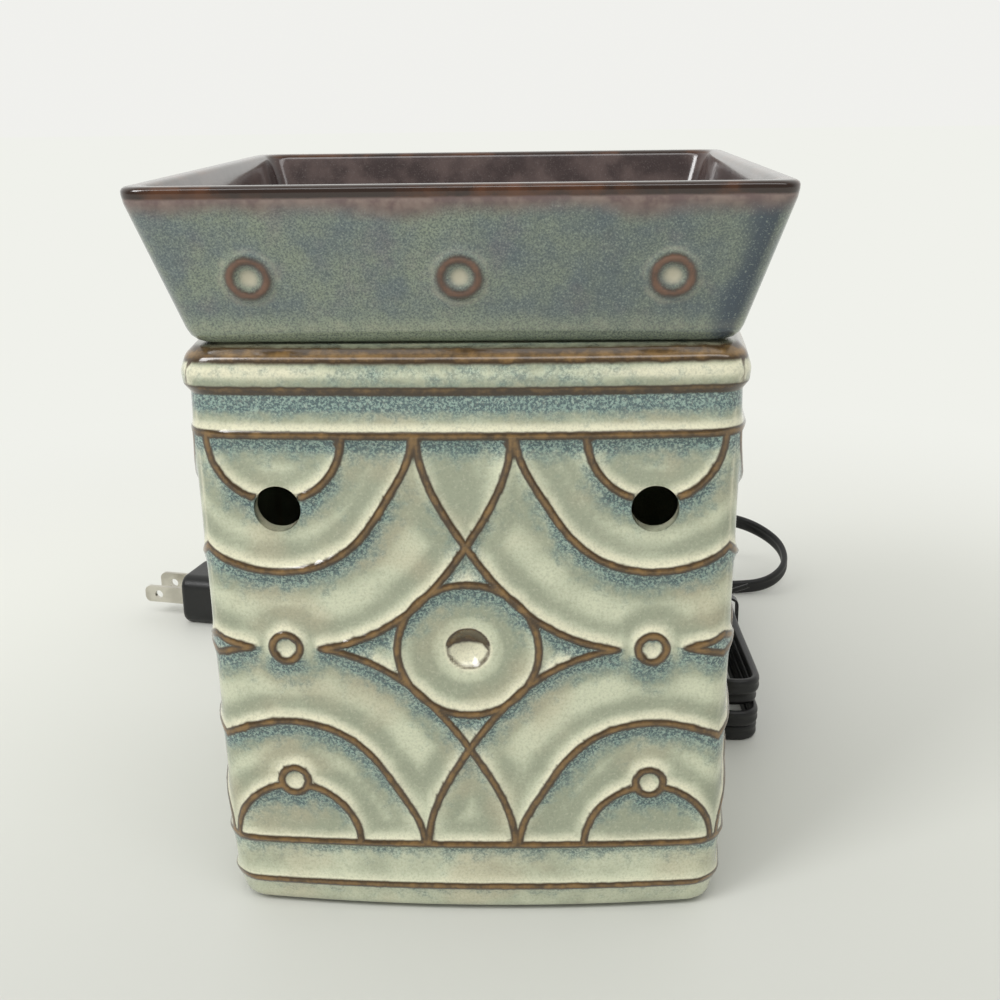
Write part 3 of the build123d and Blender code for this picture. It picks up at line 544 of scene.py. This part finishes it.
def line_glaze(x, z):
    """Ridge of the raised lines, cream above and blue below them, and distance to the nearest."""
    ridge, cream, pool = np.zeros_like(x), np.zeros_like(x), np.zeros_like(x)
    nearest = np.full_like(x, FAR)
    for distance, lean, strength in ridge_lines(x, z):
        size = np.abs(distance)
        up = np.sign(distance) * lean
        ridge = np.maximum(ridge, bell(distance, RIDGE_SPREAD) * strength)
        nearest = np.where(np.asarray(strength) > 0.5, np.minimum(nearest, size), nearest)
        above = np.clip(0.35 + 0.65 * up, 0, 1) * trail(size, *CREAM_TRAIL)
        below = np.clip(-up, 0, 1) * trail(size, *POOL_TRAIL)
        cream = np.maximum(cream, above * strength)
        pool = np.maximum(pool, below * strength)
    return ridge, cream, pool, nearest


def deep_fields(x, z, nearest):
    """Darker fields: along the ridges, round the dimple, high in the middle and in the low arcs."""
    deep_and_shade = bell(nearest - 4.8, 2.8)
    low_arc = np.hypot(np.abs(x) - ARC_OFFSET, z - LOWER_LINE)
    for patch in (
        1.5 * bell(np.hypot(x, z - PANEL_MIDDLE) - 10.5, 2.4),
        1.2 * bell(x, 7.0) * fade(z, 90, 98) * fade(-z, -UPPER_LINE, 2 - UPPER_LINE),
        1.3 * fade(-low_arc, -13.0, -9.0) * fade(z, LOWER_LINE, LOWER_LINE + 2),
    ):
        deep_and_shade = np.maximum(deep_and_shade, patch)
    return deep_and_shade * (0.4 + 0.6 * fade(z, LOWER_LINE - 2, LOWER_LINE + 2))


def body_relief(x, z, share):
    """Height of the relief, and where the glaze is broken, cream, blue or deep, with a painted highlight and
    painted shade on the roll and painted shade in the dimple.
    """
    outside = fade(share, 0.9, 1.0)
    ridge, cream, pool, nearest = line_glaze(x, z)
    deep_and_shade = deep_fields(x, z, nearest)
    panel = fade(z, *FIELD_FOOT) * fade(-z, -FIELD_HEAD[1], -FIELD_HEAD[0])
    height = RIDGE_HEIGHT * ridge - FIELD_DIP * (1 - np.exp(-nearest / 4)) * panel
    height *= 1 - 0.85 * fade(np.abs(x), *RIDGE_END)
    # Dimple: brown glaze round its edge, painted shade as brown over its upper wall, pale below
    middle = np.hypot(x, z - PANEL_MIDDLE)
    height -= DIMPLE_DEPTH * np.clip(1 - (middle / DIMPLE_RADIUS) ** 2, 0, 1) ** 1.2
    edge = 0.8 * fade(middle, DIMPLE_RADIUS - 2.2, DIMPLE_RADIUS - 0.6)
    # Painted shade: brown over the upper half of the dimple, carried in the ridge value
    edge = np.maximum(edge, fade(z - PANEL_MIDDLE, -1.6, 1.4))
    ridge = np.maximum(ridge, 0.78 * edge * fade(-middle, -DIMPLE_RADIUS - 0.9, -DIMPLE_RADIUS + 0.3))
    cream = np.maximum(cream, fade(-middle, -7.0, -4.5))
    # Dots stay pale inside
    dots = bell(dot_distance(x, z), 2.4)
    cream = np.maximum(cream, 0.8 * dots)
    pool *= 1 - dots
    # Roll and neck; the roll has a painted highlight band, brightest towards its ends, and painted shade on
    # its top and bottom
    ridge = np.maximum(ridge, bell(z - ROLL_LINE, 2.2))
    ridge = np.maximum(ridge, 0.95 * bell(z - NECK_LINE, 1.6))
    roll = fade(z, NECK_LINE, NECK_LINE + 1.5)
    highlight_ends = fade(np.abs(x), 18, 48)
    # Painted highlight: a pale band along the middle of the roll, brighter towards its ends
    cream = np.maximum(cream, (0.3 + 0.7 * highlight_ends) * bell(z - ROLL_HIGHLIGHT, 1.5))
    # Blue grey on the roll, less towards its ends where the painted highlight is brightest
    pool = np.maximum(pool, (0.34 - 0.12 * highlight_ends) * roll)
    # Painted shade: the roll darker above and below its middle
    deep_and_shade = np.maximum(deep_and_shade, 1.2 * roll * (1 - bell(z - ROLL_UNSHADED, 1.5)))
    pool = np.maximum(pool, (z < NECK_LINE) * trail(NECK_LINE - z, *NECK_TRAIL))
    # Corners are pale, with a worn edge
    cream = np.maximum(cream, 0.8 * fade(np.abs(x), *CORNER_PALE))
    ridge = np.maximum(ridge, 0.6 * fade(np.abs(x), *CORNER_WORN))
    # Vents: worn round the edge, tan in the bore
    vent = vent_distance(x, z) - VENT_RADIUS
    height *= 1 - bell(np.maximum(vent, 0), 1.0)
    cream = np.where(outside > 0.5, cream, bell(vent, 1.0))
    ridge = np.where(outside > 0.5, ridge, 0.0)
    return height * outside, {"ridge": ridge, "cream": cream, "pool": pool * outside, "deep_and_shade": deep_and_shade * outside}


UNDERSIDE = 1.0
FLOOR_TOP = 9.0
BODY_TOP = 142.0
BODY_OUTLINE = [
    (46.0, UNDERSIDE, 0.0, 0.0),
    (62.3, UNDERSIDE, 2.4, 1.5),
    (62.9, 9.0, 10.0, 1.2),
    (63.0, 19.6, 20.0, 1.0),
    (64.5, 121.6, 20.0, 1.0),
    (64.3, 131.2, 1.0, 1.0),
    (65.6, 133.2, 2.0, 1.0),
    (65.9, 136.2, 4.0, 1.0),
    (64.8, 139.6, 3.0, 1.0),
    (62.8, 141.6, 1.5, 1.0),
    (60.0, BODY_TOP, 1.0, 1.0),
    (50.0, BODY_TOP, 1.5, 0.0),
    (50.0, 136.0, 1.0, 0.0),
    (58.8, 126.0, 3.0, 0.0),
    (57.0, FLOOR_TOP, 4.0, 0.0),
    (46.0, FLOOR_TOP, 0.0, 0.0),
]
BODY_STEP = 1.65
BODY_INNER_STEP = 3.0
BODY_COLUMNS = 76
BODY_FINE = 1.9  # from a raised line, within which the grid is finer
BODY_SHARP = 75  # degrees; ridges stay smooth and the vents' edges sharp
NUT_POCKET = 12.0  # radius, as for the hole
NUT_POCKET_ROOF = 5.0
NIPPLE_HOLE = 5.2
RING_SEGMENTS = 64


def cut_vents(bm):
    """Cut the two vents of a side through both of its walls and join their edges."""
    reach = VENT_RADIUS * MM
    worn = bm.verts.layers.float["ridge"]
    for side in (-1, 1):
        middle = Vector((side * ARC_OFFSET * MM, 0, VENT_HEIGHT * MM))
        level = Vector((1, 0, 1))
        inside = [face for face in bm.faces if ((face.calc_center_median() - middle) * level).length < reach]
        bmesh.ops.delete(bm, geom=inside, context="FACES")
        rim = [
            edge for edge in bm.edges if edge.is_boundary
            and all(((vert.co - middle) * level).length < VENT_SEARCH * reach for vert in edge.verts)
        ]
        for vert in {vert for edge in rim for vert in edge.verts}:
            away = (vert.co - middle) * level
            vert.co += away.normalized() * reach - away
            vert[worn] = VENT_WEAR
        bmesh.ops.bridge_loops(bm, edges=rim)


def ring_edges(bm, radius, height):
    """Loose circle of edges about the object's axis."""
    made = bmesh.ops.create_circle(bm, segments=RING_SEGMENTS, radius=radius * MM)
    bmesh.ops.translate(bm, verts=made["verts"], vec=(0, 0, height * MM))
    return [edge for edge in bm.edges if edge.is_wire and edge.verts[0] in made["verts"]]


def close_floor(bm):
    """Underside and floor, joined by the nut's pocket and the hole for the threaded tube."""
    open_edges = [edge for edge in bm.edges if edge.is_boundary]
    under = [edge for edge in open_edges if edge.verts[0].co.z < NUT_POCKET_ROOF * MM]
    floor = [edge for edge in open_edges if edge.verts[0].co.z >= NUT_POCKET_ROOF * MM]
    rings = [
        ring_edges(bm, NUT_POCKET, UNDERSIDE),
        ring_edges(bm, NUT_POCKET, NUT_POCKET_ROOF),
        ring_edges(bm, NIPPLE_HOLE, NUT_POCKET_ROOF),
        ring_edges(bm, NIPPLE_HOLE, FLOOR_TOP),
    ]
    loops = [under, *rings, floor]
    for first, second in zip(loops, loops[1:]):
        bmesh.ops.bridge_loops(bm, edges=first + second)


def seat_bush(bm):
    """Flatten the back round the cord's bush."""
    for vert in bm.verts:
        away = math.hypot(vert.co.x, vert.co.z - CORD_EXIT * MM)
        if vert.co.y > BACK_WALL * MM and away < SEAT_BLEND * SEAT_RADIUS * MM:
            share = float(fade(np.array(away / MM), SEAT_RADIUS, SEAT_BLEND * SEAT_RADIUS))
            vert.co.y = (BOOT_TIP[1] - SEAT_DEPTH) * MM * (1 - share) + vert.co.y * share


def make_body(material):
    """Ceramic lantern body, closed, with its relief, vents and floor."""
    rows = spaced(rounded(BODY_OUTLINE), BODY_STEP, BODY_INNER_STEP)
    side, bm = shell_side(rows, BODY_CORNER, BODY_BOW, BODY_COLUMNS, body_near, BODY_FINE, LEVEL_LEAN)
    raise_side(bm, side, body_relief, ("ridge", "cream", "pool", "deep_and_shade"))
    cut_vents(bm)
    four_sides(bm)
    close_floor(bm)
    seat_bush(bm)
    made = finished(bm, "lantern_body", material, BODY_SHARP)
    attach(made, "base")
    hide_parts("body_shell", "body_crown", "raised_lines")


# Dish
DISH_BASE = BODY_TOP
DISH_BASE_HALF = 60.4
DISH_TOP = 176.8
DISH_FLARE = 10.0  # outward, over the height of a side
DISH_OUTLINE = [
    (40.0, DISH_BASE, 0.0, 0.3),
    (44.5, DISH_BASE, 0.3, 0.3),
    (44.5, 138.0, 1.2, 0.3),
    (48.5, 138.0, 1.2, 0.3),
    (48.5, DISH_BASE, 0.3, 0.3),
    (DISH_BASE_HALF, DISH_BASE, 5.0, 1.0),
    (70.2, 173.2, 4.0, 1.0),
    (70.8, DISH_TOP, 2.2, 1.0),
    (66.0, DISH_TOP, 2.0, 0.3),
    (57.6, 147.5, 5.0, 0.0),
    (40.0, 147.5, 0.0, 0.0),
]
DISH_STEP = 2.0
DISH_COLUMNS = 70
DISH_FINE = 2.4
RIM_BAND = 173.8
INNER_RIM_BAND = 175.8
DRIP_DEPTH = 171.5
PALE_FOOT = 146.3  # pale band low on a side


def boss_distance(x, z):
    """Distance from the nearest boss, along the leaning side."""
    lean = math.hypot(DISH_FLARE, DISH_TOP - DISH_BASE) / (DISH_TOP - DISH_BASE)
    along = np.minimum(np.abs(x), np.abs(np.abs(x) - BOSS_SPACING))
    return np.hypot(along, (z - BOSS_HEIGHT) * lean)


def dish_near(x, z, share):
    """Distance to the edge of the nearest boss."""
    return np.where(share > OUTER_FACE, np.maximum(boss_distance(x, z) - BOSS_REACH, 0), FAR)


def dish_relief(x, z, share):
    """Ring bosses, and where the glaze is brown, pale, running or dripping."""
    outside = fade(share, 0.6, 1.0)
    away = boss_distance(x, z)
    ring = bell(away - BOSS_RING, BOSS_SPREAD)
    height = (BOSS_PROUD * ring - BOSS_DIMPLE * bell(away, 2.2)) * outside
    halo = bell(away, 2.3) + 0.4 * bell(away - 6.2, 1.2) + 0.45 * bell(z - PALE_FOOT, 1.6)
    wave = 0.8 * np.sin(x / 9.0) + 0.5 * np.sin(x / 4.1 + 1.7)
    wave *= fade(-np.abs(x), -62, -50)
    corner = DISH_BASE_HALF + 0.3 * (z - DISH_BASE)
    line = corner - 9.5 + 0.8 * np.sin(z / 3.1)
    run = (0.3 * fade(x, -10, 40) + 0.7 * fade(x, line, line + 4)) * fade(-x, 1 - corner, 3 - corner)
    values = {
        "ridge": ring * outside,
        "cream": np.clip(halo, 0, 1) * outside,
        "pool": fade(-z, -154, -143.5) * outside,
        "drip": fade(z, DRIP_DEPTH - 5 + wave, DRIP_DEPTH + 4 + wave) * outside,
        "rim": fade(z - np.where(share > 0.6, RIM_BAND, INNER_RIM_BAND), -0.8, 0.8),
        "inside": (1 - outside) * fade(z, 140, 146),
        "run": run * outside,
    }
    return height, values


def make_dish(material):
    """Flared square dish with ring bosses and a foot ring."""
    rows = spaced(rounded(DISH_OUTLINE), DISH_STEP, DISH_STEP)
    side, bm = shell_side(rows, DISH_CORNER, DISH_BOW, DISH_COLUMNS, dish_near, DISH_FINE)
    raise_side(bm, side, dish_relief, ("ridge", "cream", "pool", "drip", "rim", "inside", "run"))
    four_sides(bm)
    bmesh.ops.holes_fill(bm, edges=[edge for edge in bm.edges if edge.is_boundary], sides=0)
    made = finished(bm, "flared_dish", material)
    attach(made, "dish")
    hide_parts("wax_dish")


# Cord
def hank_route():
    """Control points of the bundle: loops a layer apart, drawn in at the waist, climbing on one run."""
    points = []
    width, waist, reach = HANK_HALF_WIDTH, HANK_WAIST, HANK_WAIST_REACH
    back = HANK_HALF_RUN
    for loop in range(HANK_LOOPS):
        z = CORD_REST + loop * HANK_PITCH
        front = HANK_HALF_RUN + HANK_FAN * math.sin(HANK_FAN_STEP * loop)
        lift = HANK_LIFT if loop == 0 else 0
        rise = z + HANK_PITCH
        quarter = HANK_PITCH / 4
        points += [
            (-waist, -reach, z + lift),
            (-width, -front + width, z),
            (-width, -front - width, z),
            (width, -front - width, z),
            (width, -front + width, z),
            (waist, -reach, z + quarter),
            (waist, reach, z + 3 * quarter),
            (width, back - width, rise),
        ]
        if loop < HANK_LOOPS - 1:
            points += [
                (width, back + width, rise),
                (-width, back + width, rise),
                (-width, back - width, rise),
                (-waist, reach, rise),
            ]
    return [(HANK_MIDDLE[0] + x, HANK_MIDDLE[1] + y, z) for x, y, z in points]


MAIN_START = [
    BOOT_TIP,
    (0.0, BOOT_TIP[1] + BOOT_RUN, CORD_EXIT),
    (9.0, 117.0, 9.0),
    (28.0, 126.0, 4.0),
    (48.0, 125.0, CORD_REST),
    (65.0, 118.0, CORD_REST),
    (71.5, 106.0, 3.4),
    (71.5, 89.0, 3.4),
]
MAIN_END = [
    (82.2, 142.0, 24.3),
    (82.2, 160.0, 24.3),
    (83.0, 178.0, 24.2),
    (92.0, 187.5, 21.5),
    (104.6, 187.5, 17.5),
    (114.0, 178.0, 12.5),
    (114.0, 165.0, 7.5),
    (104.6, 156.0, 3.6),
    (90.0, 155.5, CORD_REST),
    (74.0, 156.0, CORD_REST),
    (56.57, 147.11, 8.0),
    (40.08, 143.0, 8.0),
]
TAIL_ROUTE = [
    (-20.08, 128.0, 8.0),
    (-33.66, 124.61, 8.0),
    (-50.55, 119.24, 9.5),
    (-66.2, 122.56, 9.5),
]


def cord_section():
    """Closed outline of the flat twin cord, two round conductors side by side, wide side up."""
    data = bpy.data.curves.new("cord_section", "CURVE")
    data.dimensions = "2D"
    spline = data.splines.new("POLY")
    spline.points.add(CORD_POINTS - 1)
    for step, point in enumerate(spline.points):
        angle = 2 * math.pi * step / CORD_POINTS
        cosine, sine = math.cos(angle), math.sin(angle)
        x = CORD_THICK / 2 * math.copysign(abs(cosine) ** CORD_SQUARE, cosine)
        y = CORD_WIDTH / 2 * math.copysign(abs(sine) ** CORD_SQUARE, sine)
        x *= 1 - CORD_GROOVE * math.exp(-((y / CORD_GROOVE_SPREAD) ** 2))
        point.co = (x * MM, y * MM, 0, 1)
    spline.use_cyclic_u = True
    return bpy.data.objects.new("cord_section", data)


def cord_mesh(name, route, material):
    """Flat cord along a smooth line with the route's points as controls; gives its object and its line."""
    data = bpy.data.curves.new(name, "CURVE")
    data.dimensions = "3D"
    data.twist_mode = "Z_UP"
    spline = data.splines.new("NURBS")
    spline.points.add(len(route) - 1)
    for point, spot in zip(spline.points, route):
        point.co = (*(Vector(spot) * MM), 1)
    spline.order_u = 3
    spline.use_endpoint_u = True
    spline.resolution_u = 8
    curve = bpy.data.objects.new(name, data)
    line_mesh = bpy.data.meshes.new_from_object(curve)
    line = [line_mesh.vertices[0].co[:]]
    for vert in line_mesh.vertices:
        if (vert.co - Vector(line[-1])).length > CORD_LINE_STEP * MM:
            line.append(vert.co[:])
    bpy.data.meshes.remove(line_mesh)
    section = cord_section()
    data.bevel_mode = "OBJECT"
    data.bevel_object = section
    data.use_fill_caps = True
    for part in (section, curve):
        bpy.context.scene.collection.objects.link(part)
    shaped = curve.evaluated_get(bpy.context.evaluated_depsgraph_get())
    mesh = bpy.data.meshes.new_from_object(shaped)
    mesh.name = name
    bpy.data.objects.remove(curve)
    bpy.data.objects.remove(section)
    mesh.materials.clear()
    mesh.materials.append(material)
    mesh.shade_smooth()
    made = bpy.data.objects.new(name, mesh)
    bpy.context.scene.collection.objects.link(made)
    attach(made, "base")
    return made, line


def line_length(line):
    """Length of a row of points."""
    return sum((Vector(b) - Vector(a)).length for a, b in zip(line, line[1:]))


def make_cords(material):
    """Cord from the body to its switch, with the bundle, and from the switch to the plug."""
    main, line = cord_mesh("supply_cord", MAIN_START + hank_route()[1:-1] + MAIN_END, material)
    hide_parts("cord_lead", "cord_hank", "cord_loop")
    line_length(line)
    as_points(line)
    tail, line = cord_mesh("plug_cord", TAIL_ROUTE, material)
    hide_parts("cord_tail")
    line_length(line)
    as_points(line)


# Finishes of the solids that stay as they are
def dress_nodes(black):
    """Give each remaining solid its own finish."""
    steel = plain_finish("zinc_steel", srgb(150, 150, 148), srgb(186, 186, 184), 0.35, 1.0)
    brass = plain_finish("contact_brass", srgb(196, 158, 84), srgb(214, 180, 110), 0.3, 1.0)
    nickel = plain_finish("blade_nickel", srgb(186, 182, 170), srgb(210, 206, 194), 0.32, 1.0)
    finishes = {
        plain_finish("foot_rubber", srgb(38, 38, 38), srgb(50, 50, 50), 0.8): ["rubber_feet"],
        steel: [
            "threaded_nipple", "nipple_nuts", "nipple_washer", "nipple_lock_washer", "holder_strap",
            "strap_screws", "switch_axle", "switch_screws",
        ],
        brass: ["terminal_screws", "holder_screw_shell", "holder_centre_contact", "switch_contacts"],
        nickel: ["plug_blade_live", "plug_blade_neutral"],
        plain_finish("holder_porcelain", srgb(222, 216, 202), srgb(236, 232, 222), 0.4): ["lamp_holder"],
        plain_finish("cap_metal", srgb(190, 188, 184), srgb(212, 210, 206), 0.35, 1.0): [
            "lamp_cap", "lamp_contact",
        ],
        plain_finish("cap_insulation", srgb(20, 20, 24), srgb(32, 32, 36), 0.2): ["lamp_insulator"],
        plain_finish("filament_metal", srgb(90, 90, 94), srgb(120, 120, 124), 0.4, 1.0): ["lamp_filament"],
        clear_glass(): ["lamp_globe", "lamp_stem"],
        plain_finish("lead_white", srgb(206, 206, 200), srgb(226, 226, 220), 0.5): ["neutral_lead"],
        black: ["live_lead", "cord_grommet"],
        plain_finish("tie_black", srgb(16, 16, 16), srgb(26, 26, 26), 0.3): ["cord_tie"],
        plain_finish("switch_black", srgb(22, 22, 22), srgb(34, 34, 34), 0.5, 0, 0.3, 0.05): [
            "switch_case_lower", "switch_case_upper",
        ],
        plain_finish("wheel_grey", srgb(70, 70, 70), srgb(88, 88, 88), 0.5): ["switch_wheel"],
        plain_finish("plug_black", srgb(9, 10, 10), srgb(18, 18, 18), 0.4, 0, 0.4, 0.03): ["plug_body"],
    }
    for material, names in finishes.items():
        for name in names:
            mesh = nodes[name].data
            mesh.materials.clear()
            mesh.materials.append(material)


# Stage; its lengths are in metres
FLOOR_HALF = 6.0
LIGHT_AIM = (0, 0, 80 * MM)
SURROUND = 0.875
FRONT_DIM = 0.55  # taken from it at the front, in reflections


def make_stage():
    """Pale floor, a little greyer round the object, with painted shade darker towards the front and the
    right, and a white surround.
    """
    bm = bmesh.new()
    bmesh.ops.create_grid(bm, x_segments=1, y_segments=1, size=FLOOR_HALF)
    material, tree, surface = new_material("floor")
    where = place(tree)
    away = add(tree, "VectorMath", {0: where}, operation="LENGTH").outputs["Value"]
    across = add(tree, "SeparateXYZ", {0: where})
    # Painted shade: the floor darker towards the front
    back = span(tree, across.outputs["Y"], -0.25, 0.2)
    colour = tint(tree, back, srgb(184, 185, 180), srgb(218, 219, 213))
    # Painted shade: the floor darker towards the right
    shade = times(tree, span(tree, across.outputs["X"], -0.1, 0.25), 0.12)
    colour = tint(tree, shade, colour, srgb(200, 201, 193))
    join(tree, surface, {"Base Color": colour, "Roughness": 0.6})
    glow = add(tree, "Emission", {"Color": srgb(240, 241, 235), "Strength": 1.0})
    path = add(tree, "LightPath")
    seen = calc(tree, "MAXIMUM", path.outputs["Is Camera Ray"], path.outputs["Is Transmission Ray"])
    seen = calc(tree, "MAXIMUM", seen, path.outputs["Is Glossy Ray"])
    beyond = times(tree, span(tree, away, 0.2, 0.5), seen)
    mixed = add(tree, "MixShader", {0: beyond, 1: surface.outputs[0], 2: glow.outputs[0]})
    tree.links.new(mixed.outputs[0], tree.nodes["Material Output"].inputs["Surface"])
    floor = finished(bm, "floor", material)


def add_lamp(name, width, depth, power, spot):
    """Soft oblong lamp, turned to the object."""
    data = bpy.data.lights.new(name, "AREA")
    data.shape = "RECTANGLE"
    data.size, data.size_y = width, depth
    data.energy = power
    lamp = bpy.data.objects.new(name, data)
    lamp.location = spot
    lamp.rotation_euler = (Vector(LIGHT_AIM) - lamp.location).to_track_quat("-Z", "Y").to_euler()
    bpy.context.scene.collection.objects.link(lamp)


def make_light():
    """Window light from the left front, a long lamp above and a pale surround."""
    add_lamp("window_lamp", 0.45, 0.45, 6.5, (-0.7, -0.7, 0.9))
    add_lamp("ceiling_lamp", 1.6, 0.3, 4.5, (0, -0.6, 1.0))
    world = bpy.data.worlds.new("surround")
    world.use_nodes = True
    bpy.context.scene.world = world
    tree = world.node_tree
    path = add(tree, "LightPath")
    toward = add(tree, "SeparateXYZ", {0: add(tree, "TexCoord").outputs["Generated"]})
    room = calc(tree, "SUBTRACT", 1.0, span(tree, toward.outputs["Y"], -0.4, 0.3))
    room = times(tree, room, path.outputs["Is Glossy Ray"])
    strength = calc(tree, "SUBTRACT", SURROUND, times(tree, room, FRONT_DIM))
    join(tree, tree.nodes["Background"], {"Color": (1.0, 1.0, 0.97, 1.0), "Strength": strength})
    bpy.context.scene.view_settings.view_transform = "Standard"


make_camera()
cord_black = plain_finish("cord_black", srgb(12, 12, 12), srgb(22, 22, 22), 0.4, 0, 0.35, 0.04)
make_cords(cord_black)
make_body(body_glaze())
make_dish(dish_glaze())
dress_nodes(cord_black)
make_stage()
make_light()
